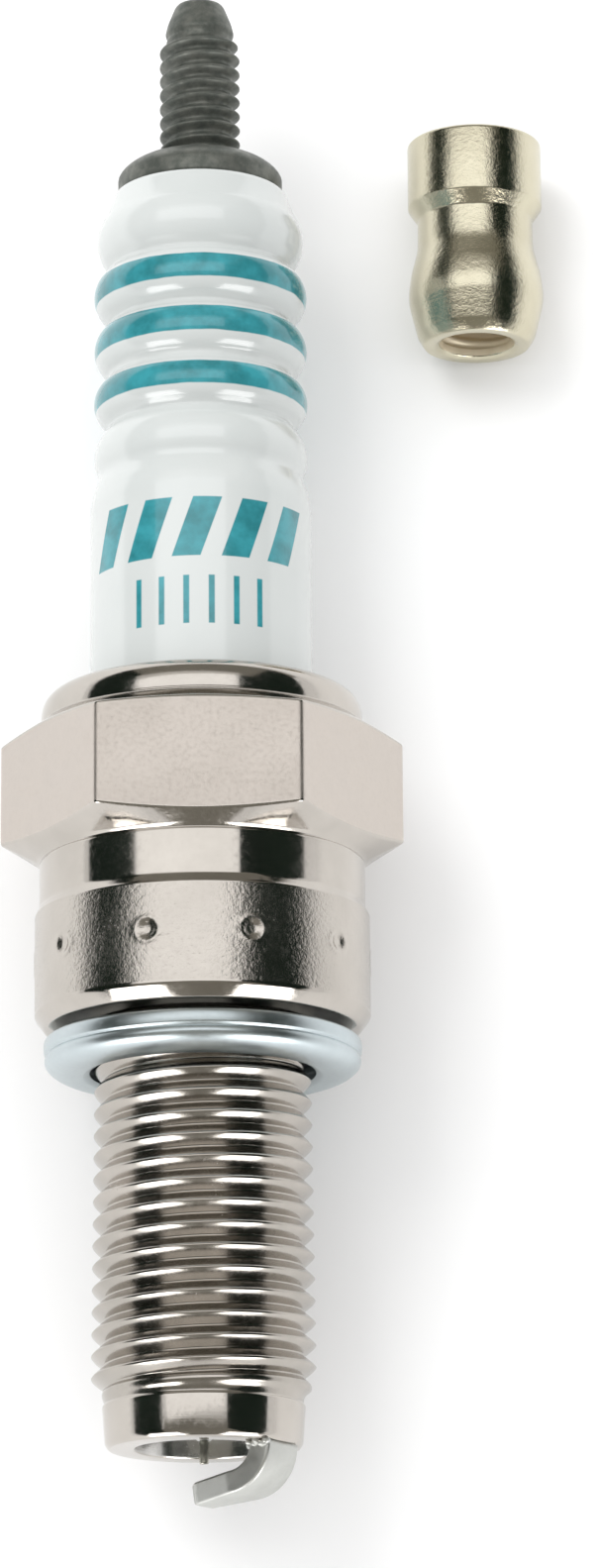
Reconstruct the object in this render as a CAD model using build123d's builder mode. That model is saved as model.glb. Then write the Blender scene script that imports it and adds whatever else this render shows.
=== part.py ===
from build123d import *
import math
import os

os.makedirs("parts", exist_ok=True)

# Spark plug, M10 x 1.0 thread, 19 mm reach, 16 mm hexagon, with a removable terminal nut.
# Millimetres. The plug lies along Y: firing end at -Y, terminal end at +Y. +Z is normal to the
# upper hexagon flat, and the plug rests on the lower one. Every turned section is drawn as
# (radius, position along Y), with positions counted from the shell's sealing seat. At the end
# every piece is shifted so that the origin is the centre of the first thread crest.

# ---- driving dimensions -------------------------------------------------------------------

REACH = 19.0              # seat to the end face of the shell
HEX_FLATS = 16.0          # across flats
HEX_LOW = 7.85            # start of the hexagon above the seat
HEX_TOP = 14.1            # end of the hexagon
HEX_CONE_R = 7.5          # radius where the hexagon's bevels start

THREAD_R = 4.975          # M10 crest radius
THREAD_ROOT_R = 4.40
THREAD_PITCH = 1.0
THREAD_FIRST = -2.9       # crest nearest the seat
THREAD_CRESTS = 14
NECK_R = 4.45             # relief under the head that holds the gasket
COLLAR_R = 4.67           # plain collar next to the last crest
COLLAR_END_R = 4.27       # the collar narrows to this at the end face
NOSE_BORE_R = 3.05        # shell bore round the insulator nose
BODY_BORE_R = 3.55        # shell bore through the thread
CAVITY_R = 5.85           # shell bore round the insulator's flange
CAVITY_TOP = 14.2
LIP_TOP = 15.78           # crimped lip that closes the shell on the insulator

HEAD_R = 7.625            # lower cylinder of the shell head
HEAD_TOP = 5.3
WAIST_R = 7.42            # upper cylinder, between head and hexagon

BARREL_R = 5.13           # insulator barrel above the crimp
RIB_R = 4.95              # crest of the corrugations
RIB_ROOT_R = 4.25
RIB_PITCH = 2.585
FIRST_GROOVE = 28.50      # lowest full groove between ribs
LOW_GROOVE = 26.08        # shallow groove that ends the plain barrel
LOW_GROOVE_R = 4.73
INSULATOR_TOP = 40.0
INSULATOR_TOP_R = 4.08
NOSE_TIP = -17.6
TERMINAL_BORE_R = 1.60
ELECTRODE_BORE_R = 0.98
BORE_STEP = -5.95

STUD_R = 1.925            # M4 crest radius
STUD_ROOT_R = 1.56
STUD_PITCH = 0.7
STUD_FIRST = 42.3
STUD_CRESTS = 8
STUD_TIP = 49.75
FLANGE_R = 3.85
STEM_END = 12.0

TIP_R = 0.21              # precious metal tip
TIP_END = -19.65
SPARK_GAP = 0.9

STRAP_WIDTH = 2.5         # ground electrode
STRAP_THICK = 1.05
STRAP_ANGLE = 32.0        # turned from +X towards +Z
STRAP_TIP_WIDTH = 1.35

GASKET_R = 7.22
GASKET_BORE_R = 4.85
GASKET_TOP = -0.37
GASKET_HEIGHT = 1.76
SHEET = 0.34              # folded sheet thickness of the gasket

NUT_X = 13.05             # the terminal nut lies beside the plug
NUT_Z = -4.755
NUT_FOOT = 34.17          # open end of the nut
NUT_HEAD_R = 3.195
NUT_BARREL_R = 3.215
NUT_NECK_R = 2.76
NUT_LENGTH = 10.1
NUT_BORE_R = 1.65
NUT_BORE_ROOT_R = 2.02
NUT_BORE_DEPTH = 8.0


def thread_outline(crest, root, pitch, first, count, step):
    """Points of a 60 degree thread section, one trapezoid per turn, going along step."""
    half_crest = pitch / 16
    half_base = half_crest + abs(crest - root) * math.tan(math.radians(30))
    points = []
    for turn in range(count):
        centre = first + step * pitch * turn
        points.append((root, centre - step * half_base))
        points.append((crest, centre - step * half_crest))
        points.append((crest, centre + step * half_crest))
        points.append((root, centre + step * half_base))
    return points


# ---- metal shell --------------------------------------------------------------------------

last_crest = THREAD_FIRST - THREAD_PITCH * (THREAD_CRESTS - 1)
ledge_low = (NOSE_BORE_R, -7.9)
ledge_high = (BODY_BORE_R, -7.2)

with BuildPart() as metal_shell:
    with BuildSketch(Plane.XY):
        with BuildLine():
            Polyline(
                (CAVITY_R, CAVITY_TOP),
                (CAVITY_R, 3.4),
                (BODY_BORE_R, 1.5),
                ledge_high,
                ledge_low,
                (NOSE_BORE_R, -REACH),
                (COLLAR_END_R - 0.15, -REACH),
                (COLLAR_END_R, -REACH + 0.15),
                (COLLAR_R, last_crest - 0.75),
                (COLLAR_R - 0.12, last_crest - 0.55),
                *reversed(thread_outline(THREAD_R, THREAD_ROOT_R, THREAD_PITCH, THREAD_FIRST,
                                         THREAD_CRESTS, -1)),
                (NECK_R, THREAD_FIRST + 0.45),
                (NECK_R, 0.0),
                (HEAD_R - 0.45, 0.0),
                (HEAD_R, 0.62),
                (HEAD_R, HEAD_TOP),
                (WAIST_R, HEAD_TOP + 0.3),
                (WAIST_R, HEX_LOW - 0.05),
                (HEX_CONE_R, HEX_LOW),
                (HEX_CONE_R, HEX_TOP),
                (7.38, HEX_TOP + 0.16),
                (7.34, 14.75),
            )
            ThreePointArc((7.34, 14.75), (6.97, 15.47), (6.21, 15.74))
            Polyline((6.21, 15.74), (5.38, LIP_TOP), (BARREL_R + 0.06, LIP_TOP - 0.04),
                     (BARREL_R + 0.06, 15.22))
            ThreePointArc((BARREL_R + 0.06, 15.22), (5.62, 14.83), (CAVITY_R, CAVITY_TOP))
        make_face()
    revolve(axis=Axis.Y)
    # hexagon with bevelled corners at both ends
    with BuildSketch(Plane.XY):
        with BuildLine():
            Polyline(
                (WAIST_R - 0.5, HEX_LOW),
                (HEX_CONE_R, HEX_LOW),
                (HEX_FLATS / 2, HEX_LOW + 0.50),
                (9.25, HEX_LOW + 0.90),
                (9.25, HEX_TOP - 0.80),
                (HEX_FLATS / 2, HEX_TOP - 0.42),
                (HEX_CONE_R, HEX_TOP),
                (WAIST_R - 0.5, HEX_TOP),
                close=True,
            )
        make_face()
    revolve(axis=Axis.Y)
    with BuildSketch(Plane.XZ.offset(-HEX_TOP)):
        Circle(12)
        RegularPolygon(HEX_FLATS / 2, 6, major_radius=False, mode=Mode.SUBTRACT)
    extrude(amount=HEX_TOP - HEX_LOW, mode=Mode.SUBTRACT)
metal_shell.part.label = "metal_shell"

# ---- ceramic insulator --------------------------------------------------------------------

# the seat cone of the insulator lies parallel to the shell's ledge, one packing ring away
RING_THICK = 0.32
slope = math.atan2(ledge_high[1] - ledge_low[1], ledge_high[0] - ledge_low[0])
normal = (-math.sin(slope), math.cos(slope))
along = (math.cos(slope), math.sin(slope))


def on_ledge(distance, lift):
    """Point at a distance up the ledge from its foot, lifted off it along its normal."""
    return (ledge_low[0] + along[0] * distance + normal[0] * lift,
            ledge_low[1] + along[1] * distance + normal[1] * lift)


seat_foot = on_ledge(0.0, RING_THICK + 0.02)
seat_run = (3.40 - seat_foot[0]) / along[0]
seat_head = on_ledge(seat_run, RING_THICK + 0.02)
grooves = [FIRST_GROOVE + RIB_PITCH * n for n in range(4)]

with BuildPart() as ceramic_insulator:
    with BuildSketch(Plane.XY):
        with BuildLine():
            Polyline(
                (TERMINAL_BORE_R, INSULATOR_TOP),
                (TERMINAL_BORE_R, BORE_STEP + 0.6),
                (ELECTRODE_BORE_R, BORE_STEP),
                (ELECTRODE_BORE_R, NOSE_TIP),
                (1.35, NOSE_TIP),
                (1.55, NOSE_TIP + 0.2),
                (2.30, -9.6),
                (seat_foot[0] - 0.12, -8.3),
                seat_foot,
                seat_head,
                (3.40, 1.4),
                (5.45, 3.15),
                (5.75, 3.75),
                (5.75, 11.3),
                (BARREL_R, 11.76),
                (BARREL_R, 24.7),
            )
            ThreePointArc((BARREL_R, 24.7), (4.99, 25.36), (LOW_GROOVE_R, LOW_GROOVE))
            ThreePointArc((LOW_GROOVE_R, LOW_GROOVE), (RIB_R, 27.15),
                          (RIB_ROOT_R + 0.06, grooves[0]))
            ThreePointArc((RIB_ROOT_R + 0.06, grooves[0]), (RIB_R, grooves[0] + RIB_PITCH / 2),
                          (RIB_ROOT_R, grooves[1]))
            for low, high in zip(grooves[1:-1], grooves[2:]):
                ThreePointArc((RIB_ROOT_R, low), (RIB_R, (low + high) / 2), (RIB_ROOT_R, high))
            ThreePointArc((RIB_ROOT_R, grooves[3]), (4.82, 37.60), (4.46, 38.80))
            Polyline((4.46, 38.80), (INSULATOR_TOP_R, INSULATOR_TOP - 0.16),
                     (INSULATOR_TOP_R - 0.14, INSULATOR_TOP),
                     (TERMINAL_BORE_R, INSULATOR_TOP))
        make_face()
    revolve(axis=Axis.Y)
ceramic_insulator.part.label = "ceramic_insulator"

# ---- packing between shell and insulator --------------------------------------------------

with BuildPart() as seat_packing_ring:
    with BuildSketch(Plane.XY):
        with BuildLine():
            Polyline(on_ledge(0.08, 0.01), on_ledge(0.72, 0.01), on_ledge(0.72, RING_THICK),
                     on_ledge(0.08, RING_THICK), close=True)
        make_face()
    revolve(axis=Axis.Y)
seat_packing_ring.part.label = "seat_packing_ring"

PACKING_R = (BARREL_R + CAVITY_R) / 2

with BuildPart() as lower_packing_ring:
    with BuildSketch(Plane.XY):
        with Locations((PACKING_R, 11.94)):
            Circle(0.34)
    revolve(axis=Axis.Y)
lower_packing_ring.part.label = "lower_packing_ring"

with BuildPart() as talc_fill:
    with BuildSketch(Plane.XY):
        with BuildLine():
            Polyline((BARREL_R + 0.01, 12.30), (CAVITY_R - 0.01, 12.30),
                     (CAVITY_R - 0.01, 13.84), (BARREL_R + 0.01, 13.84), close=True)
        make_face()
    revolve(axis=Axis.Y)
talc_fill.part.label = "talc_fill"

with BuildPart() as upper_packing_ring:
    with BuildSketch(Plane.XY):
        with Locations((PACKING_R, 14.19)):
            Circle(0.34)
    revolve(axis=Axis.Y)
upper_packing_ring.part.label = "upper_packing_ring"

# ---- terminal stud ------------------------------------------------------------------------

with BuildPart() as terminal_stud:
    with BuildSketch(Plane.XY):
        with BuildLine():
            Polyline(
                (0.85, STUD_TIP),
                (0, STUD_TIP),
                (0, STEM_END),
                (0.95, STEM_END),
                (1.15, STEM_END + 0.3),
                (1.15, 16.2),
                (1.50, 16.6),
                (1.50, INSULATOR_TOP + 0.01),
                (FLANGE_R - 0.10, INSULATOR_TOP + 0.01),
                (FLANGE_R, INSULATOR_TOP + 0.11),
                (FLANGE_R, INSULATOR_TOP + 0.72),
            )
            ThreePointArc((FLANGE_R, INSULATOR_TOP + 0.72), (3.36, 41.35), (2.25, 41.81))
            Polyline(
                (2.25, 41.81),
                (STUD_ROOT_R + 0.12, 41.87),
                *thread_outline(STUD_R, STUD_ROOT_R, STUD_PITCH, STUD_FIRST, STUD_CRESTS, 1),
                (1.80, 47.70),
                (1.62, 48.30),
                (1.16, STUD_TIP - 0.25),
                (0.85, STUD_TIP),
            )
        make_face()
    revolve(axis=Axis.Y)
terminal_stud.part.label = "terminal_stud"

# ---- conductive chain inside the insulator ------------------------------------------------

SEAL_R = TERMINAL_BORE_R - 0.01

with BuildPart() as upper_glass_seal:
    with BuildSketch(Plane.XY):
        with BuildLine():
            Polyline((0, 9.51), (SEAL_R, 9.51), (SEAL_R, 15.9), (1.16, 15.9),
                     (1.16, STEM_END + 0.29), (0.96, STEM_END - 0.01), (0, STEM_END - 0.01),
                     close=True)
        make_face()
    revolve(axis=Axis.Y)
upper_glass_seal.part.label = "upper_glass_seal"

with BuildPart() as resistor_element:
    with BuildSketch(Plane.XZ.offset(-1.0)):
        Circle(SEAL_R)
    extrude(amount=-8.5)
resistor_element.part.label = "resistor_element"

with BuildPart() as lower_glass_seal:
    with BuildSketch(Plane.XY):
        with BuildLine():
            Polyline((0, 0.99), (SEAL_R, 0.99), (SEAL_R, -4.29), (0.81, -4.29), (0.81, -3.29),
                     (0, -3.29), close=True)
        make_face()
    revolve(axis=Axis.Y)
lower_glass_seal.part.label = "lower_glass_seal"

CORE_R = 0.5
CONE_END = -18.6

with BuildPart() as centre_electrode:
    with BuildSketch(Plane.XY):
        with BuildLine():
            Polyline(
                (CORE_R + 0.01, -3.30),
                (0.80, -3.30),
                (0.80, -4.30),
                (1.45, -4.30),
                (1.45, BORE_STEP + 0.62),
                (0.94, BORE_STEP + 0.02),
                (0.94, -17.95),
                (0.27, CONE_END),
                (TIP_R + 0.005, CONE_END),
                (TIP_R + 0.005, -18.2),
                (0, -18.2),
                (0, -15.51),
                (CORE_R + 0.01, -15.51),
                close=True,
            )
        make_face()
    revolve(axis=Axis.Y)
centre_electrode.part.label = "centre_electrode"

with BuildPart() as copper_core:
    with BuildSketch(Plane.XZ.offset(3.31)):
        Circle(CORE_R)
    extrude(amount=12.19)
copper_core.part.label = "copper_core"

with BuildPart() as iridium_tip:
    with BuildSketch(Plane.XZ.offset(18.21)):
        Circle(TIP_R)
    extrude(amount=-TIP_END - 18.21)
iridium_tip.part.label = "iridium_tip"

# ---- ground electrode ---------------------------------------------------------------------

# side profile in the plane through the axis: the strap leaves the end face at its rim, bends
# inwards and ends a little past the centre tip, dropping 8 degrees away from the shell
BEND_R = 2.25
BEND_SWEEP = math.radians(82)
bend_centre = (COLLAR_END_R - 0.07 - BEND_R, -REACH - 0.02)
STRAP_OVER = -0.15        # tip of the strap, measured from the axis


def bend_point(radius, angle):
    """Point of the bend at an angle from the outward direction."""
    return (bend_centre[0] + radius * math.cos(angle), bend_centre[1] - radius * math.sin(angle))


def run_out(start):
    """Straight run from the end of the bend to the tip of the strap."""
    return (STRAP_OVER, start[1] - (start[0] - STRAP_OVER) / math.tan(BEND_SWEEP))


outer_turn = bend_point(BEND_R, BEND_SWEEP)
inner_turn = bend_point(BEND_R - STRAP_THICK, BEND_SWEEP)

with BuildPart() as ground_electrode:
    with BuildSketch(Plane.XY):
        with BuildLine():
            Line((bend_centre[0] + BEND_R - STRAP_THICK, bend_centre[1]),
                 (bend_centre[0] + BEND_R, bend_centre[1]))
            ThreePointArc(bend_point(BEND_R, 0), bend_point(BEND_R, BEND_SWEEP / 2), outer_turn)
            Polyline(outer_turn, run_out(outer_turn), run_out(inner_turn), inner_turn)
            ThreePointArc(inner_turn, bend_point(BEND_R - STRAP_THICK, BEND_SWEEP / 2),
                          bend_point(BEND_R - STRAP_THICK, 0))
        make_face()
    extrude(amount=STRAP_WIDTH / 2, both=True)
    # both sides are cut back so that the strap narrows towards its tip
    with BuildSketch(Plane.XZ.offset(REACH - 1)):
        with BuildLine():
            Polyline((2.1, STRAP_WIDTH / 2), (STRAP_OVER - 0.2, STRAP_TIP_WIDTH / 2 - 0.05),
                     (STRAP_OVER - 0.2, 2.5), (2.1, 2.5), close=True)
        make_face()
        mirror(about=Plane.XZ)
    extrude(amount=5, mode=Mode.SUBTRACT)
    fillet(ground_electrode.edges().filter_by(Axis.Z), 0.12)

ground_strap = ground_electrode.part.rotate(Axis.Y, -STRAP_ANGLE)
ground_strap.label = "ground_electrode"

# ---- sealing gasket -----------------------------------------------------------------------

gasket_foot = GASKET_TOP - GASKET_HEIGHT

with BuildPart() as sealing_gasket:
    with BuildSketch(Plane.XY):
        with BuildLine():
            Polyline((GASKET_BORE_R, GASKET_TOP), (6.92, GASKET_TOP))
            ThreePointArc((6.92, GASKET_TOP), (7.14, GASKET_TOP - 0.12),
                          (GASKET_R, GASKET_TOP - 0.40))
            Polyline((GASKET_R, GASKET_TOP - 0.40), (GASKET_R - 0.02, GASKET_TOP - 0.74),
                     (7.07, GASKET_TOP - 0.83), (7.17, GASKET_TOP - 0.93),
                     (7.17, GASKET_TOP - 1.05))
            ThreePointArc((7.17, GASKET_TOP - 1.05), (6.81, GASKET_TOP - 1.56),
                          (5.95, gasket_foot))
            Polyline(
                (5.95, gasket_foot),
                (5.30, gasket_foot),
                (5.05, gasket_foot + 0.15),
                (5.30, gasket_foot + SHEET),
                (6.05, gasket_foot + SHEET),
                (6.66, GASKET_TOP - 1.02),
                (6.66, GASKET_TOP - 0.62),
                (6.40, GASKET_TOP - SHEET),
                (GASKET_BORE_R, GASKET_TOP - SHEET),
                (GASKET_BORE_R, GASKET_TOP),
            )
        make_face()
    revolve(axis=Axis.Y)
sealing_gasket.part.label = "sealing_gasket"

# ---- terminal nut -------------------------------------------------------------------------

with BuildPart() as terminal_nut:
    with BuildSketch(Plane.XY):
        with BuildLine():
            Polyline(
                (0, NUT_LENGTH),
                (0, NUT_BORE_DEPTH),
                (NUT_BORE_R - 0.25, NUT_BORE_DEPTH - 0.7),
                (NUT_BORE_R, NUT_BORE_DEPTH - 1.2),
                *reversed(thread_outline(NUT_BORE_ROOT_R, NUT_BORE_R, STUD_PITCH, 0.95, 8, 1)),
                (NUT_BORE_R, 0.42),
                (NUT_BORE_R + 0.35, 0.0),
                (2.55, 0.0),
                (2.785, 0.33),
                (3.17, 1.95),
            )
            ThreePointArc((3.17, 1.95), (NUT_BARREL_R, 2.55), (3.13, 3.35))
            Polyline((3.13, 3.35), (NUT_NECK_R, 4.72), (NUT_NECK_R - 0.03, 6.25),
                     (NUT_HEAD_R, 6.87), (NUT_HEAD_R, NUT_LENGTH - 0.10),
                     (NUT_HEAD_R - 0.12, NUT_LENGTH), (0, NUT_LENGTH))
        make_face()
    revolve(axis=Axis.Y)

nut_in_place = terminal_nut.part.moved(Location((NUT_X, NUT_FOOT, NUT_Z)))
nut_in_place.label = "terminal_nut"

# ---- export -------------------------------------------------------------------------------

pieces = [
    metal_shell.part,
    ceramic_insulator.part,
    seat_packing_ring.part,
    lower_packing_ring.part,
    talc_fill.part,
    upper_packing_ring.part,
    terminal_stud.part,
    upper_glass_seal.part,
    resistor_element.part,
    lower_glass_seal.part,
    centre_electrode.part,
    copper_core.part,
    iridium_tip.part,
    ground_strap,
    sealing_gasket.part,
    nut_in_place,
]
for piece in pieces:
    placed = piece.moved(Location((0, -THREAD_FIRST, 0)))
    placed.label = piece.label
    export_step(placed, "parts/" + placed.label + ".step")
    print(placed.label, round(placed.volume, 2), placed.bounding_box())
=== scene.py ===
import math
import random

import bmesh
import bpy
import numpy as np
from mathutils import Matrix, Vector, noise


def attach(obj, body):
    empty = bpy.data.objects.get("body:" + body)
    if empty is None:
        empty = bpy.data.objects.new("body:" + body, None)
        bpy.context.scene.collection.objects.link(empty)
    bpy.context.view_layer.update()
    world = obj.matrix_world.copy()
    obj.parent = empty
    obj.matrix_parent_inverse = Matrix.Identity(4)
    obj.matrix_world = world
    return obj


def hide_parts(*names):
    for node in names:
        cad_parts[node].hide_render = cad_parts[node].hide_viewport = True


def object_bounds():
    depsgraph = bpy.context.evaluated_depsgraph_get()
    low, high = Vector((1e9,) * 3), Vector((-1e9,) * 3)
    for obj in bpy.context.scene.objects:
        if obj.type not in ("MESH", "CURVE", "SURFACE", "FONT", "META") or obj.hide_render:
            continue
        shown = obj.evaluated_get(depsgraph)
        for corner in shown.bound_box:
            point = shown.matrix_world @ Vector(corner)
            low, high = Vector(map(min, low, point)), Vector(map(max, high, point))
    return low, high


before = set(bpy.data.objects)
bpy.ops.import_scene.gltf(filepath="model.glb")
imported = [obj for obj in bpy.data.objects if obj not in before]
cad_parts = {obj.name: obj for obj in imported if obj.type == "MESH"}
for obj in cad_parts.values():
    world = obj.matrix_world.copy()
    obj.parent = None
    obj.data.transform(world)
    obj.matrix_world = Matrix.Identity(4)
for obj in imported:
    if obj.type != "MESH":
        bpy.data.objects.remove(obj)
cad_box = [[float(v) for v in corner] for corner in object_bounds()]

# The axis of the plug is the Y axis of the frame. Sizes are in mm, and a position along the
# axis is counted from the sealing seat towards the stud. The stage, the lights and the
# camera are placed in metres.
MM = 0.001
DATUM = 2.9               # from the frame's origin to the sealing seat
TURN = 2 * math.pi

M10_PITCH = 1.0
M4_PITCH = 0.7
REACH = 19.0              # sealing seat to the end face of the shell
HEX_INRADIUS = 8.0
HEX_CORNER = 0.26         # rounding of the hexagon's six long edges
HEAD_R = 7.62             # lower cylinder of the shell's head
DIMPLES = 10              # plain stamped marks round the lower cylinder
DIMPLE_STEP = 360 / DIMPLES
DIMPLE_DEPTH = 0.11
DIMPLE_S = 3.1            # their distance from the sealing seat

# ------------------------------------------------------------------ mesh tools
# Turned shapes are lists of rings, each with a (radius, position) row for every azimuth. The
# azimuth runs from +Z towards +X.

CORNER_STEPS = 4          # segments of a rounded corner
CORNER_SHARE = 0.47       # of a stretch that a rounding may take at either end
WELD = 2e-7               # vertices closer than this many metres become one


def azimuths():
    """Azimuths in radians, closer together at the hexagon's corners and at the dimples."""
    sector = list(np.linspace(-27.0, 27.0, 29)) + [27.9, 28.6, 29.2, 30.0, 30.8, 31.4, 32.1]
    found = [(60 * k + a) % 360 for k in range(6) for a in sector]
    for k in range(DIMPLES):
        fine = [DIMPLE_STEP * (k + 0.5) + a for a in np.linspace(-4.2, 4.2, 13)]
        found = [a for a in found if a < fine[0] - 0.3 or a > fine[-1] + 0.3] + fine
    return np.radians(sorted(found))


EVEN = np.linspace(0, TURN, 160, endpoint=False)
HEXED = azimuths()


def ring(r, s, theta):
    """One ring. The radius and the position may vary with the azimuth."""
    return np.stack([np.broadcast_to(r, theta.shape), np.broadcast_to(s, theta.shape)], axis=1)


def soften(rings, sizes):
    """Rounds the corners of a list of rings; sizes gives how far each rounding reaches."""
    out = [rings[0]]
    for a, b, c, size in zip(rings, rings[1:], rings[2:], sizes[1:]):
        if size == 0:
            out.append(b)
            continue
        to_a = np.linalg.norm(a - b, axis=1, keepdims=True)
        to_c = np.linalg.norm(c - b, axis=1, keepdims=True)
        p = b + (a - b) * np.minimum(size, CORNER_SHARE * to_a) / np.maximum(to_a, 1e-9)
        q = b + (c - b) * np.minimum(size, CORNER_SHARE * to_c) / np.maximum(to_c, 1e-9)
        for t in np.linspace(0, 1, CORNER_STEPS + 1):
            out.append((1 - t) ** 2 * p + 2 * t * (1 - t) * b + t * t * q)
    out.append(rings[-1])
    return out


def profile(points, size):
    """Round rings through (r, s) or (r, s, rounding) points; size is the usual rounding."""
    rings = [ring(p[0], p[1], EVEN) for p in points]
    return soften(rings, [p[2] if len(p) > 2 else size for p in points])


def arc(a, m, b, count):
    """Points of the circle through three (r, s) points, from a past m to b, with no rounding."""
    (ax, ay), (mx, my), (bx, by) = a, m, b
    a2, m2, b2 = ax**2 + ay**2, mx**2 + my**2, bx**2 + by**2
    d = 2 * (ax * (my - by) + mx * (by - ay) + bx * (ay - my))
    ux = (a2 * (my - by) + m2 * (by - ay) + b2 * (ay - my)) / d
    uy = (a2 * (bx - mx) + m2 * (ax - bx) + b2 * (mx - ax)) / d
    radius = math.hypot(ax - ux, ay - uy)
    start = math.atan2(ay - uy, ax - ux)
    middle = math.atan2(my - uy, mx - ux)
    end = math.atan2(by - uy, bx - ux)
    while end < start:
        end += TURN
    while middle < start:
        middle += TURN
    if middle > end:
        end -= TURN
    turns = np.linspace(start, end, count)
    return [(ux + radius * math.cos(t), uy + radius * math.sin(t), 0) for t in turns]


def quarter(centre, reach, power, count, down=False):
    """Points of a quarter of a superellipse, from its widest radius inwards, with no rounding."""
    sign = -1 if down else 1
    points = []
    for t in np.radians(np.linspace(0, 90, count)):
        r = centre[0] + reach[0] * math.cos(t) ** power
        points.append((r, centre[1] + sign * reach[1] * math.sin(t) ** power, 0))
    return points


def vertex(bm, r, s, t):
    return bm.verts.new((r * math.sin(t) * MM, (s + DATUM) * MM, r * math.cos(t) * MM))


def wrap(bm, loops, closed=False):
    """Adds the faces between neighbouring loops; closed joins the last loop to the first."""
    count = len(loops[0])
    for j in range(len(loops) if closed else len(loops) - 1):
        lower, upper = loops[j], loops[(j + 1) % len(loops)]
        for i in range(count):
            k = (i + 1) % count
            bm.faces.new((lower[i], lower[k], upper[k], upper[i]))


def skin(bm, rings, theta, closed=False):
    """Adds a turned surface through the rings. Its outside faces away from the axis while
    the position grows."""
    wrap(bm, [[vertex(bm, r, s, t) for (r, s), t in zip(item, theta)] for item in rings], closed)


def helix(bm, theta, pitch, first, last, root, section, phase, fade_low, fade_high,
          taper=lambda s: 1.0):
    """Adds a right-hand helical thread between two plain rings at first and last. section
    lists (share of the pitch, height) over one pitch, and the height fades out at both ends."""
    n = len(theta)
    turns = int(math.ceil((last - first) / pitch)) + 3
    start = first - 2 * pitch + ((phase - first) % pitch)

    def point(step, share, height):
        t = theta[step % n]
        s = min(max(start + pitch * (step // n + share + t / TURN), first), last)
        low = min(max((s - first) / fade_low, 0), 1)
        high = min(max((last - s) / fade_high, 0), 1)
        lift = height * taper(s) * low * low * (3 - 2 * low) * high * high * (3 - 2 * high)
        return vertex(bm, root + lift, s, t)

    columns = [[point(step, share, height) for share, height in section] for step in range(turns * n)]
    for step in range(turns * n - 1):
        here, there = columns[step], columns[step + 1]
        for k in range(len(section) - 1):
            bm.faces.new((here[k], there[k], there[k + 1], here[k + 1]))
        if step + 1 + n < len(columns):
            bm.faces.new((here[-1], there[-1], columns[step + 1 + n][0], columns[step + n][0]))


def finish_mesh(bm, name, body, materials, replaces, weld=True):
    """Makes the visual piece that replaces the named CAD nodes."""
    if weld:
        bmesh.ops.remove_doubles(bm, verts=bm.verts, dist=WELD)
        bmesh.ops.dissolve_degenerate(bm, edges=bm.edges, dist=WELD / 2)
    mesh = bpy.data.meshes.new(name)
    bm.to_mesh(mesh)
    bm.free()
    obj = bpy.data.objects.new(name, mesh)
    bpy.context.scene.collection.objects.link(obj)
    for polygon in mesh.polygons:
        polygon.use_smooth = True
    for material in materials:
        mesh.materials.append(material)
    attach(obj, body)
    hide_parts(*replaces)


# ------------------------------------------------------------------ material tools


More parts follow.
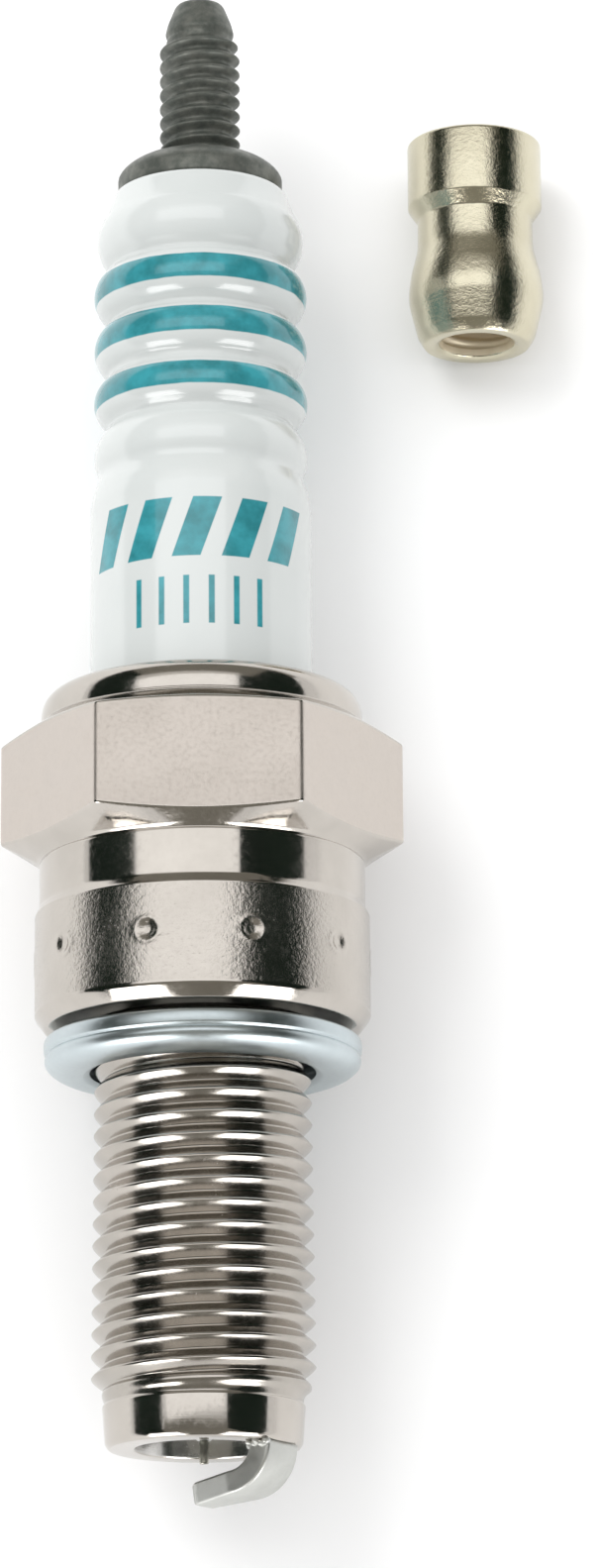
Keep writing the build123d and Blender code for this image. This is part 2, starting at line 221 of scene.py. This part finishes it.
class Nodes:
    """A small helper round one Principled material."""

    def __init__(self, name, **values):
        self.material = bpy.data.materials.new(name)
        self.material.use_nodes = True
        self.tree = self.material.node_tree
        self.shader = self.tree.nodes["Principled BSDF"]
        for key, value in values.items():
            self.shader.inputs[key.replace("_", " ")].default_value = value
        self.coords = self.tree.nodes.new("ShaderNodeTexCoord").outputs["Object"]
        self.split = None

    def link(self, value, socket):
        if hasattr(value, "links"):
            self.tree.links.new(value, socket)
        else:
            socket.default_value = value

    def math(self, kind, a, b=0.0):
        node = self.tree.nodes.new("ShaderNodeMath")
        node.operation = kind
        for value, socket in zip((a, b), node.inputs):
            self.link(value, socket)
        return node.outputs[0]

    def product(self, *values):
        result = values[0]
        for value in values[1:]:
            result = self.math("MULTIPLY", result, value)
        return result

    def xyz(self):
        if self.split is None:
            self.split = self.tree.nodes.new("ShaderNodeSeparateXYZ")
            self.link(self.coords, self.split.inputs[0])
        return self.split.outputs

    def station(self):
        """Position along the plug in mm, counted from the sealing seat."""
        return self.math("SUBTRACT", self.math("MULTIPLY", self.xyz()["Y"], 1 / MM), DATUM)

    def azimuth(self):
        """Azimuth in degrees, from +Z towards +X."""
        radians = self.math("ARCTAN2", self.xyz()["X"], self.xyz()["Z"])
        return self.math("MULTIPLY", radians, 180 / math.pi)

    def noise(self, per_mm, detail=3.0, rough=0.5, stretch=(1, 1, 1)):
        mapping = self.tree.nodes.new("ShaderNodeMapping")
        mapping.inputs["Scale"].default_value = [per_mm / MM * k for k in stretch]
        self.link(self.coords, mapping.inputs["Vector"])
        node = self.tree.nodes.new("ShaderNodeTexNoise")
        node.inputs["Scale"].default_value = 1.0
        node.inputs["Detail"].default_value = detail
        node.inputs["Roughness"].default_value = rough
        self.link(mapping.outputs[0], node.inputs["Vector"])
        return node.outputs["Fac"]

    def spread(self, value, low, high, to_low=0.0, to_high=1.0, smooth=False):
        node = self.tree.nodes.new("ShaderNodeMapRange")
        node.interpolation_type = "SMOOTHSTEP" if smooth else "LINEAR"
        for socket, item in zip(node.inputs, (value, low, high, to_low, to_high)):
            self.link(item, socket)
        return node.outputs[0]

    def between(self, value, low, high, soft):
        """1 between low and high, fading to 0 over soft on either side."""
        up = self.spread(value, low - soft, low + soft, smooth=True)
        down = self.spread(value, high - soft, high + soft, 1.0, 0.0, smooth=True)
        return self.math("MULTIPLY", up, down)

    def mix(self, share, a, b):
        node = self.tree.nodes.new("ShaderNodeMix")
        node.data_type = "RGBA"
        self.link(share, node.inputs[0])
        for value, socket in ((a, node.inputs[6]), (b, node.inputs[7])):
            self.link((*value, 1) if isinstance(value, tuple) else value, socket)
        return node.outputs[2]

    def bump(self, height, strength, distance):
        """Adds a bump of distance mm on top of those that the material already has."""
        node = self.tree.nodes.new("ShaderNodeBump")
        node.inputs["Strength"].default_value = strength
        node.inputs["Distance"].default_value = distance * MM
        self.link(height, node.inputs["Height"])
        if self.shader.inputs["Normal"].is_linked:
            self.link(self.shader.inputs["Normal"].links[0].from_socket, node.inputs["Normal"])
        self.link(node.outputs[0], self.shader.inputs["Normal"])

    def colour(self, value):
        self.link(value, self.shader.inputs["Base Color"])

    def roughness(self, value):
        self.link(value, self.shader.inputs["Roughness"])


def plated(name, light, dark, gloss, matt, grain=0.0, lines=0.0):
    """Plated metal: soft colour drift, uneven gloss, fine grain and turning lines."""
    m = Nodes(name, Metallic=1.0)
    drift = m.noise(0.35, 4.0, 0.6)
    fleck = m.noise(5.0, 2.0, 0.6)
    m.colour(m.mix(m.spread(drift, 0.3, 0.7), dark, light))
    patch = m.spread(drift, 0.3, 0.7, gloss, matt)
    m.roughness(m.math("ADD", patch, m.spread(fleck, 0.45, 0.75, 0.0, 0.08)))
    if grain:
        m.bump(m.noise(7.0, 3.0, 0.6), grain, 0.02)
    if lines:
        m.bump(m.noise(1.0, 2.0, 0.5, (0.3, 22, 0.3)), lines, 0.01)
    return m


def plain(name, a, b, rough, metal=0.0, per_mm=1.5, grain=0.2):
    """Simple mottled material, mostly for the pieces inside the plug."""
    m = Nodes(name, Metallic=metal)
    m.colour(m.mix(m.noise(per_mm, 4.0, 0.6), a, b))
    m.roughness(m.spread(m.noise(per_mm * 2, 3.0), 0.3, 0.7, rough, rough + 0.12))
    m.bump(m.noise(per_mm * 4, 3.0, 0.6), grain, 0.03)
    return m.material


# ------------------------------------------------------------------ materials

SILVER, SILVER_DARK = (0.545, 0.51, 0.468), (0.475, 0.444, 0.405)
polished = plated("shell_polished", SILVER, SILVER_DARK, 0.07, 0.14, lines=0.05)
flats = plated("shell_flats", (0.635, 0.58, 0.53), (0.575, 0.525, 0.48), 0.34, 0.44, grain=0.10)
threads = plated("shell_thread", (0.50, 0.465, 0.425), (0.40, 0.375, 0.34), 0.13, 0.22, grain=0.05)
bore = plated("shell_bore", (0.62, 0.61, 0.59), (0.52, 0.51, 0.49), 0.16, 0.24, lines=0.25)
stamped = plated("shell_stamped", SILVER, SILVER_DARK, 0.13, 0.22, grain=0.20, lines=0.04)
stamped.bump(stamped.noise(5.0, 3.0, 0.7), 0.48, 0.045)

zinc = plated("gasket_zinc", (0.58, 0.64, 0.66), (0.50, 0.56, 0.58), 0.28, 0.38, grain=0.04)
nickel = plated("electrode_nickel", (0.60, 0.605, 0.58), (0.46, 0.465, 0.44), 0.36, 0.48, grain=0.25)
pin_metal = plated("precious_pin", (0.55, 0.54, 0.47), (0.42, 0.41, 0.36), 0.30, 0.42, grain=0.05)

pale_gold = plated("nut_plating", (0.66, 0.62, 0.48), (0.57, 0.53, 0.40), 0.08, 0.18, grain=0.22)
pale_gold.bump(pale_gold.noise(3.6, 4.0, 0.75), 0.40, 0.06)
# painted light: the nut's bore is lighter and less metallic than the plating, so the hole looks lit inside
painted_light_bore = plain("nut_thread_painted_light", (0.66, 0.57, 0.41), (0.84, 0.75, 0.58), 0.40, 0.35)


def stud_oxide():
    """Dark, unevenly rubbed oxide."""
    m = Nodes("stud_oxide", Metallic=0.5)
    rub = m.noise(1.6, 5.0, 0.65)
    m.colour(m.mix(m.spread(rub, 0.38, 0.66), (0.095, 0.105, 0.092), (0.17, 0.175, 0.155)))
    m.roughness(m.spread(rub, 0.3, 0.7, 0.52, 0.38))
    m.bump(m.noise(9.0, 3.0, 0.6), 0.12, 0.02)
    return m.material


BANDS = ((34.44, 35.60), (31.85, 33.10), (29.28, 30.42))
BAR_STRETCH = (20.97, 23.77)
BAR_PITCH = 2.3           # mm round the barrel from one slanted bar to the next
BAR_LEAN = -0.36          # mm round the barrel for each mm along it
BAR_ROW = (-6 * BAR_PITCH, -BAR_PITCH)   # five whole bars
BARREL_R = 5.13
TICK_STRETCH = (17.78, 20.05)
TICK_PITCH = 13.0         # degrees
TICK_ROW = (-3 * TICK_PITCH, 3 * TICK_PITCH)   # six ticks


def insulator_glaze():
    """White glaze with three printed bands and a plain pattern of slanted bars and ticks."""
    m = Nodes("insulator_glaze", Roughness=0.22, IOR=1.50, Coat_Weight=0.60, Coat_Roughness=0.03)
    place = m.station()
    turn = m.azimuth()
    wobble = m.math("MULTIPLY", m.math("SUBTRACT", m.noise(0.7, 2.0), 0.5), 0.10)
    edge = m.math("ADD", place, wobble)
    ink = m.between(edge, *BANDS[0], 0.03)
    for low, high in BANDS[1:]:
        ink = m.math("MAXIMUM", ink, m.between(edge, low, high, 0.03))

    round_barrel = m.math("MULTIPLY", turn, BARREL_R * math.pi / 180)
    slant = m.math("ADD", round_barrel, m.math("MULTIPLY", place, BAR_LEAN))
    in_pitch = m.math("FRACT", m.math("DIVIDE", slant, BAR_PITCH))
    bar = m.product(m.between(in_pitch, 0.16, 0.74, 0.012), m.between(place, *BAR_STRETCH, 0.03),
                    m.between(slant, *BAR_ROW, 0.01))

    in_pitch = m.math("FRACT", m.math("DIVIDE", turn, TICK_PITCH))
    tick = m.product(m.between(in_pitch, 0.36, 0.60, 0.03), m.between(place, *TICK_STRETCH, 0.03),
                     m.between(turn, *TICK_ROW, 0.2))

    ink = m.math("MAXIMUM", ink, m.math("MAXIMUM", bar, tick))
    white = m.mix(m.noise(0.25, 3.0), (0.55, 0.58, 0.57), (0.60, 0.62, 0.61))
    cloud = m.spread(m.noise(0.8, 3.0, 0.6), 0.35, 0.65)
    teal = m.mix(cloud, (0.020, 0.185, 0.21), (0.038, 0.29, 0.335))
    m.colour(m.mix(ink, white, teal))
    m.bump(m.noise(0.6, 2.0), 0.05, 0.05)
    return m.material


hidden = {
    "seat_packing_ring": plain("packing_steel", (0.42, 0.42, 0.41), (0.58, 0.58, 0.56), 0.35, 1.0),
    "talc_fill": plain("talc_powder", (0.80, 0.79, 0.76), (0.90, 0.89, 0.86), 0.85, 0.0, 3.0, 0.5),
    "upper_glass_seal": plain("copper_glass", (0.33, 0.22, 0.15), (0.50, 0.36, 0.24), 0.40, 0.2, 2.0),
    "resistor_element": plain("resistor_body", (0.05, 0.05, 0.055), (0.13, 0.13, 0.14), 0.60, 0.0, 3.0),
    "copper_core": plain("copper", (0.70, 0.36, 0.22), (0.84, 0.48, 0.32), 0.28, 1.0),
}
hidden["lower_packing_ring"] = hidden["upper_packing_ring"] = hidden["seat_packing_ring"]
hidden["lower_glass_seal"] = hidden["upper_glass_seal"]
for node, material in hidden.items():
    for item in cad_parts[node].material_slots:
        item.material = material

# ------------------------------------------------------------------ metal shell

SHELL_ROOT = 4.455        # thread root
SHELL_BORE = 3.05         # round the insulator's nose
THREAD_LOW, THREAD_HIGH = -17.0, -1.5
LOOKS = (polished, flats, stamped, bore, threads)
POLISHED, FLATS, STAMPED, BORE, THREADS = range(len(LOOKS))

M10_HEIGHT = 0.52
# (share of the pitch, height) of the rolled M10 thread
M10 = [(share, M10_HEIGHT * (1 - abs(2 * share - 1) ** 1.25)) for share in np.linspace(0, 1, 19)[:-1]]


def hex_radius(theta):
    """Radius of a hexagon with rounded corners at each azimuth."""
    off = np.abs((np.degrees(theta) + 30) % 60 - 30)
    flat = HEX_INRADIUS / np.cos(np.radians(off))
    inner = HEX_INRADIUS - HEX_CORNER
    tangent = math.degrees(math.atan(inner * math.tan(math.radians(30)) / HEX_INRADIUS))
    d = inner / math.cos(math.radians(30))
    beta = np.radians(30 - off)
    rounded = d * np.cos(beta) + np.sqrt(np.maximum(HEX_CORNER**2 - (d * np.sin(beta)) ** 2, 0))
    return np.where(off < tangent, flat, rounded)


def dimpled(s):
    """Ring of the lower cylinder, which carries a row of plain stamped dimples."""
    off = np.radians(np.degrees(HEXED) % DIMPLE_STEP - DIMPLE_STEP / 2)
    reach = np.hypot(off * HEAD_R, s - DIMPLE_S)
    edge = np.clip((reach - 0.16) / 0.34, 0, 1)
    lip = 0.028 * np.exp(-((reach - 0.56) / 0.09) ** 2)
    return ring(HEAD_R - DIMPLE_DEPTH * (1 - edge * edge * (3 - 2 * edge)) + lip, s, HEXED)


def turned(r, s, rounding=0.0, look=POLISHED):
    return ring(r, s, HEXED), rounding, look


def shell_rings():
    """(ring, rounding, look of the stretch that starts at the ring), once round the section."""
    hexagon = hex_radius(HEXED)
    swell = (hexagon - HEX_INRADIUS) / 1.2
    rings = [turned(SHELL_ROOT, THREAD_HIGH), turned(4.88, -1.32, 0.06), turned(4.88, 0.0, 0.12)]
    rings += [turned(7.17, 0.0, 0.14), turned(HEAD_R, 0.60, 0.14), turned(HEAD_R, 0.74, 0, STAMPED)]
    rings += [(dimpled(s), 0, STAMPED) for s in np.linspace(2.3, 3.9, 23)]
    rings += [turned(HEAD_R, 5.22, 0.05, STAMPED), turned(7.57, 5.30, 0.05), turned(7.42, 5.62, 0.10)]
    rings += [turned(7.42, 7.66, 0.08), turned(7.37, 7.76, 0.05), turned(7.50, 7.90, 0.06)]
    # the bevels take more of the hexagon's length at its corners
    rings += [turned(hexagon, 8.42 + 0.30 * swell, 0.10, FLATS), turned(hexagon, 13.62 - 0.26 * swell, 0.10)]
    rings += [turned(7.44, 14.04, 0.04), turned(7.34, 14.16, 0.05)]
    # the crimped lip is a rounded shoulder that ends in a nearly flat edge
    rings += [turned(*point) for point in quarter((5.38, 14.27), (1.99, 1.50), 0.6456, 19)]
    inside = [(5.22, 15.74), (5.18, 15.60), (5.20, 15.22), (5.62, 14.83), (5.85, 14.20), (5.85, 3.4),
              (3.55, 1.5), (3.55, -7.2), (SHELL_BORE, -7.9), (SHELL_BORE, -12.0), (SHELL_BORE, -16.0),
              (SHELL_BORE, -18.86)]
    rings += [turned(r, s, 0, BORE) for r, s in inside]
    rings += [turned(3.12, -REACH, 0.05), turned(4.26, -REACH, 0.10), turned(4.42, -18.78, 0.12)]
    rings += [turned(4.54, -17.12, 0.06), turned(SHELL_ROOT, THREAD_LOW)]
    return rings


def build_shell():
    sharp = shell_rings()
    rings = [sharp[0][0]]
    looks = []
    for k in range(1, len(sharp)):
        # the stretch up to the corner keeps its look, and the rounding itself is polished
        if k < len(sharp) - 1 and sharp[k][1]:
            piece = soften([sharp[k + step][0] for step in (-1, 0, 1)], [0, sharp[k][1], 0])[1:-1]
        else:
            piece = [sharp[k][0]]
        rings += piece
        looks += [sharp[k - 1][2]] + [POLISHED] * (len(piece) - 1)
    bm = bmesh.new()
    skin(bm, rings, HEXED)
    helix(bm, HEXED, M10_PITCH, THREAD_LOW, THREAD_HIGH, SHELL_ROOT, M10,
          phase=-0.12, fade_low=1.1, fade_high=0.3,
          taper=lambda s: 0.86 + 0.24 * min(max((-2.5 - s) / 12, 0), 1))
    bm.faces.ensure_lookup_table()
    turned_faces = len(looks) * len(HEXED)
    for number, face in enumerate(bm.faces):
        face.material_index = looks[number // len(HEXED)] if number < turned_faces else THREADS
    finish_mesh(bm, "shell", "plug", [m.material for m in LOOKS], ["metal_shell"])


# ------------------------------------------------------------------ ceramic insulator


def build_insulator():
    outline = [(1.6, 39.9), (1.6, -5.35), (0.98, -5.95), (0.98, -17.6, 0), (1.35, -17.6, 0.1),
               (1.55, -17.4, 0.1), (2.30, -9.6, 0.5), (2.64, -8.3, 0.2), (2.78, -7.70, 0.1),
               (3.40, -6.84, 0.2), (3.40, 1.4, 0.3), (5.45, 3.15, 0.2), (5.75, 3.75, 0.2),
               (5.75, 11.3, 0.2), (5.11, 11.76, 0.1), (5.11, 24.60, 0.25), (5.00, 25.25, 0.2),
               (4.74, 25.95, 0.12)]
    outline += arc((4.76, 26.24), (4.94, 27.10), (4.42, 28.28), 15)
    outline.append((4.29, 28.51, 0.09))
    ribs = ((28.51, 30.94, 4.966, 4.44), (30.94, 33.63, 4.95, 4.34), (33.63, 36.26, 4.963, 4.40))
    for low, high, crest, foot in ribs:
        middle = (low + high) / 2
        outline += arc((foot, low + 0.22), (crest, middle), (foot - 0.02, high - 0.22), 17)
        outline.append((foot - 0.16, high, 0.09))
    outline += arc((4.37, 36.48), (4.82, 37.66), (4.48, 38.74), 16)
    outline += [(4.09, 39.82, 0.06), (3.98, 40.0, 0.08), (1.70, 40.0, 0.05)]
    bm = bmesh.new()
    skin(bm, profile(outline, 0.05), EVEN, closed=True)
    finish_mesh(bm, "insulator", "plug", [insulator_glaze()], ["ceramic_insulator"])


# ------------------------------------------------------------------ terminal stud

STUD_ROOT = 1.52
STUD_LOW, STUD_HIGH = 41.90, 47.92
# (share of the pitch, height) of the rolled M4 thread
M4 = [(0.0, 0.0), (0.10, 0.01), (0.18, 0.07), (0.30, 0.22), (0.40, 0.33), (0.46, 0.362), (0.5, 0.366),
      (0.54, 0.362), (0.60, 0.33), (0.70, 0.22), (0.82, 0.07), (0.90, 0.01)]


def build_stud():
    lower = [(0.02, 12.0, 0), (0.95, 12.0), (1.15, 12.3), (1.15, 16.2), (1.50, 16.6), (1.50, 40.01, 0),
             (3.75, 40.01, 0.06), (3.85, 40.12, 0.06)]
    lower += quarter((1.85, 40.757), (2.0, 1.107), 1.246, 14)
    lower.append((STUD_ROOT, STUD_LOW, 0))
    upper = [(STUD_ROOT, STUD_HIGH, 0), (1.62, 48.12, 0.1), (1.50, 48.62, 0.2), (1.17, 49.45, 0.12)]
    upper += arc((1.06, 49.57), (0.60, 49.70), (0.02, 49.74), 7)
    bm = bmesh.new()
    skin(bm, profile(lower, 0.05), EVEN)
    helix(bm, EVEN, M4_PITCH, STUD_LOW, STUD_HIGH, STUD_ROOT, M4,
          phase=0.1, fade_low=0.25, fade_high=0.6)
    skin(bm, profile(upper, 0.05), EVEN)
    finish_mesh(bm, "stud", "plug", [stud_oxide()], ["terminal_stud"])


# ------------------------------------------------------------------ sealing gasket

GASKET_BODY_R = 6.4       # outside this radius the folded sheet is a little uneven


def build_gasket():
    fold = [(5.04, -0.39, 0.04), (6.92, -0.37, 0.20), (7.16, -0.50, 0.12), (7.215, -0.80, 0.12),
            (7.19, -1.08, 0.06), (7.06, -1.19, 0.04), (7.12, -1.27, 0.04)]
    fold += quarter((5.94, -1.42), (1.23, 0.705), 1.0, 16, down=True)
    fold += [(5.40, -2.11, 0.10), (5.08, -1.96, 0.08), (5.30, -1.80, 0.08), (6.05, -1.80, 0.15),
             (6.66, -1.40, 0.2), (6.66, -1.00, 0.15), (6.40, -0.72, 0.1), (5.04, -0.72, 0.05),
             (5.03, -0.55, 0)]
    bm = bmesh.new()
    skin(bm, list(reversed(profile(fold, 0.05))), EVEN, closed=True)
    for v in bm.verts:
        t = math.atan2(v.co.x, v.co.z)
        lift = 0.018 * math.sin(3 * t + 0.6) + 0.012 * math.sin(7 * t + 2.0)
        r = math.hypot(v.co.x, v.co.z) / MM
        if r > GASKET_BODY_R:
            v.co.y += lift * MM * (r - GASKET_BODY_R)
    finish_mesh(bm, "gasket", "gasket", [zinc.material], ["sealing_gasket"])


# ------------------------------------------------------------------ centre electrode and tip


def build_centre_electrode():
    outline = [(0.52, -3.3, 0), (0.80, -3.3), (0.80, -4.3), (1.45, -4.3), (1.45, -5.33), (0.94, -5.93),
               (0.94, -17.95, 0.1), (0.30, -18.6, 0.03), (0.215, -18.62, 0), (0.215, -18.2, 0),
               (0.01, -18.2, 0), (0.01, -15.52, 0), (0.52, -15.52, 0)]
    bm = bmesh.new()
    skin(bm, list(reversed(profile(outline, 0.03))), EVEN[::3], closed=True)
    finish_mesh(bm, "electrode_sheath", "plug", [nickel.material], ["centre_electrode"])


def build_fine_tip():
    outline = [(0.005, -18.22, 0), (0.205, -18.22, 0), (0.208, -19.60, 0.03), (0.18, -19.648, 0.02),
               (0.005, -19.648, 0)]
    bm = bmesh.new()
    skin(bm, list(reversed(profile(outline, 0.02))), EVEN[::4], closed=True)
    finish_mesh(bm, "fine_tip", "plug", [pin_metal.material], ["iridium_tip"])


# ------------------------------------------------------------------ ground electrode

STRAP_WIDTH, STRAP_THICK = 2.5, 1.05
STRAP_CORNER = 0.16
STRAP_FOOT = -REACH - 0.02
STRAP_TIP_R = -0.15       # the tip ends just past the axis
BEND = 2.25               # outer radius of the bend
SWEEP = math.radians(82)
BEND_CENTRE = 4.20 - BEND
AIM = math.radians(32.0)  # from +X towards +Z
OUT = Vector((math.cos(AIM), 0, math.sin(AIM)))
SIDE = Vector((-math.sin(AIM), 0, math.cos(AIM)))


def strap_section(width, thick):
    """Rounded rectangle as (across the strap, outwards) points."""
    points = []
    for cx, cy, start in ((1, 1, 0), (-1, 1, 90), (-1, -1, 180), (1, -1, 270)):
        for k in range(CORNER_STEPS + 1):
            a = math.radians(start + 90 * k / CORNER_STEPS)
            points.append((cx * (width / 2 - STRAP_CORNER) + STRAP_CORNER * math.cos(a),
                           cy * (thick / 2 - STRAP_CORNER) + STRAP_CORNER * math.sin(a)))
    return points


def strap_stations():
    """(radius, position, turn) down the middle of the strap: the bend, then a straight arm."""
    mid_bend = BEND - STRAP_THICK / 2
    stations = []
    for a in [SWEEP * k / 18 for k in range(19)]:
        stations.append((BEND_CENTRE + mid_bend * math.cos(a), STRAP_FOOT - mid_bend * math.sin(a), a))
    r, s, turn = stations[-1]
    arm = (r - STRAP_TIP_R) / math.sin(turn)
    for d in [arm * k / 14 for k in range(1, 15)]:
        stations.append((r - d * math.sin(turn), s - d * math.cos(turn), turn))
    return stations


def strap_loop(bm, station, is_tip):
    r, s, turn = station
    width = min(STRAP_WIDTH, 1.40 + max(r - STRAP_TIP_R, 0) * 0.50)
    shrink = 0.05 if is_tip else 0.0
    loop = []
    for across, outwards in strap_section(width - 2 * shrink, STRAP_THICK - 2 * shrink):
        p = OUT * (r + outwards * math.cos(turn)) + SIDE * across
        loop.append(bm.verts.new((p.x * MM, (s - outwards * math.sin(turn) + DATUM) * MM, p.z * MM)))
    return loop


def weld_spatter(bm, foot_r):
    """Small drops of the resistance weld round the strap's foot."""
    chance = random.Random(7)
    for k in range(26):
        side = chance.choice((-1, 1, 1, 1))
        along = chance.uniform(-0.5, 0.5)
        if k % 3 == 0:
            across, outwards = chance.uniform(-1.25, 1.25), -0.58
        else:
            across, outwards = side * 1.27, along
        size = chance.uniform(0.11, 0.24)
        middle = OUT * (foot_r + outwards) + SIDE * across
        middle.y = STRAP_FOOT - chance.uniform(-0.02, 0.22) + DATUM
        drop = bmesh.ops.create_icosphere(bm, subdivisions=3, radius=size * MM)
        for v in drop["verts"]:
            v.co *= 1 + 0.25 * noise.noise(v.co * 9000 + Vector((k, 0, 0)))
            v.co.y *= 0.75
            v.co += middle * MM


def build_ground_strap():
    stations = strap_stations()
    bm = bmesh.new()
    loops = [strap_loop(bm, station, station is stations[-1]) for station in stations]
    wrap(bm, loops)
    bm.faces.new(loops[-1])
    bm.faces.new(list(reversed(loops[0])))
    weld_spatter(bm, stations[0][0])
    bmesh.ops.recalc_face_normals(bm, faces=bm.faces)
    finish_mesh(bm, "ground_strap", "plug", [nickel.material], ["ground_electrode"],
                weld=False)


# ------------------------------------------------------------------ terminal nut

NUT_FOOT = 34.17
NUT_AWAY = (13.05, 0.0, -4.755)   # from the plug's axis to the loose nut's
NUT_BORE = 1.68
NUT_THREAD_LOW, NUT_THREAD_HIGH = 0.42, 7.0
BORE_PAINTED_LIGHT_R = 2.06                # inside this radius the bore gets a lighter colour, painted light that makes the hole look lit


def nut_rings(points):
    return [r + np.array([0, NUT_FOOT]) for r in profile(points, 0.05)]


def build_nut():
    outside = [(0.02, 10.10, 0), (3.06, 10.10, 0.08), (3.195, 9.98, 0.08), (3.195, 6.90, 0.06),
               (2.73, 6.24, 0.08), (2.76, 4.76, 0.30), (3.09, 3.50, 0.35), (3.215, 2.60, 0.35),
               (3.18, 2.06, 0.18), (2.80, 0.50, 0.12), (2.58, 0.12, 0.10), (2.48, 0.0, 0.06),
               (2.00, 0.0, 0.06), (1.78, 0.10, 0.05), (NUT_BORE, NUT_THREAD_LOW, 0)]
    inner_end = [(NUT_BORE, NUT_THREAD_HIGH, 0), (1.40, 7.6, 0.1), (0.02, 8.2, 0)]
    groove = [(share, 0.98 * height) for share, height in M4]
    bm = bmesh.new()
    skin(bm, list(reversed(nut_rings(outside))), EVEN)
    skin(bm, nut_rings(inner_end), EVEN)
    helix(bm, EVEN, M4_PITCH, NUT_FOOT + NUT_THREAD_LOW, NUT_FOOT + NUT_THREAD_HIGH, NUT_BORE,
          groove, phase=0.3, fade_low=0.3, fade_high=0.4)
    bmesh.ops.remove_doubles(bm, verts=bm.verts, dist=WELD)
    bmesh.ops.recalc_face_normals(bm, faces=bm.faces)
    for face in bm.faces:
        middle = face.calc_center_median()
        depth = middle.y / MM - NUT_FOOT - DATUM
        # faces inside the bore get the lighter colour, which is painted light
        if math.hypot(middle.x, middle.z) < BORE_PAINTED_LIGHT_R * MM and 0.15 < depth < 9.0:
            face.material_index = 1
    bmesh.ops.translate(bm, verts=bm.verts, vec=Vector(NUT_AWAY) * MM)
    finish_mesh(bm, "nut", "nut", [pale_gold.material, painted_light_bore], ["terminal_nut"])


build_shell()
build_insulator()
build_stud()
build_gasket()
build_centre_electrode()
build_fine_tip()
build_ground_strap()
build_nut()

# ------------------------------------------------------------------ floor and light


def lay_floor():
    """Sheet of paper just under the part."""
    floor_z = cad_box[0][2]
    bpy.ops.mesh.primitive_plane_add(size=6.0, location=(0, 0, floor_z - 0.00002))
    floor = bpy.context.active_object
    floor.name = "floor"
    paper = Nodes("floor_paper", Roughness=0.85)
    paper.shader.inputs["Specular IOR Level"].default_value = 0.15
    paper.colour(paper.mix(paper.noise(0.05, 2.0), (0.93, 0.93, 0.93), (0.95, 0.95, 0.95)))
    floor.data.materials.append(paper.material)


def light_world():
    """Even white light from all round."""
    world = bpy.data.worlds.new("studio")
    bpy.context.scene.world = world
    world.use_nodes = True
    background = world.node_tree.nodes["Background"]
    background.inputs["Color"].default_value = (1.0, 1.0, 1.0, 1)
    background.inputs["Strength"].default_value = 1.0


PLUG_MIDDLE = (0, 0.012, 0)


def panel(name, centre, along, length, width, radiance):
    """Rectangular soft light that faces the plug, its long side parallel to along."""
    data = bpy.data.lights.new(name, "AREA")
    data.shape = "RECTANGLE"
    data.size, data.size_y = length, width
    data.energy = radiance * math.pi * length * width
    lamp = bpy.data.objects.new(name, data)
    bpy.context.scene.collection.objects.link(lamp)
    lamp.location = centre
    back = (Vector(centre) - Vector(PLUG_MIDDLE)).normalized()
    right = (Vector(along) - back * Vector(along).dot(back)).normalized()
    lamp.rotation_euler = Matrix((right, back.cross(right), back)).transposed().to_euler()
    lamp.visible_camera = False
    return lamp


def card(name, corners, dark, light):
    """Studio card that is seen only in reflections."""
    mesh = bpy.data.meshes.new(name)
    mesh.from_pydata(corners, [], [(0, 1, 2, 3)])
    obj = bpy.data.objects.new(name, mesh)
    bpy.context.scene.collection.objects.link(obj)
    felt = Nodes(name + "_felt", Roughness=0.9)
    felt.shader.inputs["Specular IOR Level"].default_value = 0.1
    felt.colour(felt.mix(felt.noise(0.02, 2.0), dark, light))
    mesh.materials.append(felt.material)
    obj.visible_camera = False
    obj.visible_shadow = False
    obj.visible_diffuse = False


def side_card(name, x, low, high):
    """Upright black card beside the plug, from the height low to high."""
    corners = [(x, -0.45, low), (x, 0.75, low), (x, 0.75, high), (x, -0.45, high)]
    card(name, corners, (0.006, 0.012, 0.009), (0.012, 0.020, 0.014))


def end_card(name, low, high):
    """Leaning grey card beyond an end of the plug; low and high are its edges as (y, z)."""
    corners = [(-0.80, *low), (0.80, *low), (0.80, *high), (-0.80, *high)]
    card(name, corners, (0.20, 0.19, 0.165), (0.25, 0.24, 0.21))


lay_floor()
light_world()
panel("overhead", (-0.072, 0.160, 0.42), (1, 0, 0), 0.62, 0.37, 0.48)
for side in (-1, 1):
    box = panel("softbox", (side * 0.185, -0.300, 0.090), (-side * 0.384, -0.131, 0.344), 0.20, 0.18, 5.5)
    box.visible_diffuse = False
fill = panel("fill", (-0.28, 0.26, 0.50), (1, 0, 0), 0.30, 0.30, 4.2)
fill.visible_glossy = False
side_card("card_left", -0.40, 0.03, 0.36)
side_card("card_right", 0.40, 0.09, 0.80)
end_card("card_front", (-0.50, 0.06), (-0.03, 0.80))
end_card("card_back", (0.70, 0.06), (0.33, 0.50))

# ------------------------------------------------------------------ camera

TILT = math.radians(14.52)
ROLL = math.radians(-0.42)
STANDS = (0.00435, -0.0529, 0.260)
FILM_HEIGHT, FOCAL_LENGTH = 36.0, 134.7669

camera_data = bpy.data.cameras.new("camera")
camera_data.sensor_fit = "VERTICAL"
camera_data.sensor_height = FILM_HEIGHT
camera_data.lens = FOCAL_LENGTH
camera_data.clip_start = 0.01
camera_data.clip_end = 20
camera = bpy.data.objects.new("camera", camera_data)
bpy.context.scene.collection.objects.link(camera)
camera.location = STANDS
camera.rotation_euler = (Matrix.Rotation(TILT, 3, "X") @ Matrix.Rotation(ROLL, 3, "Z")).to_euler()
bpy.context.scene.camera = camera
bpy.context.scene.view_settings.view_transform = "Standard"
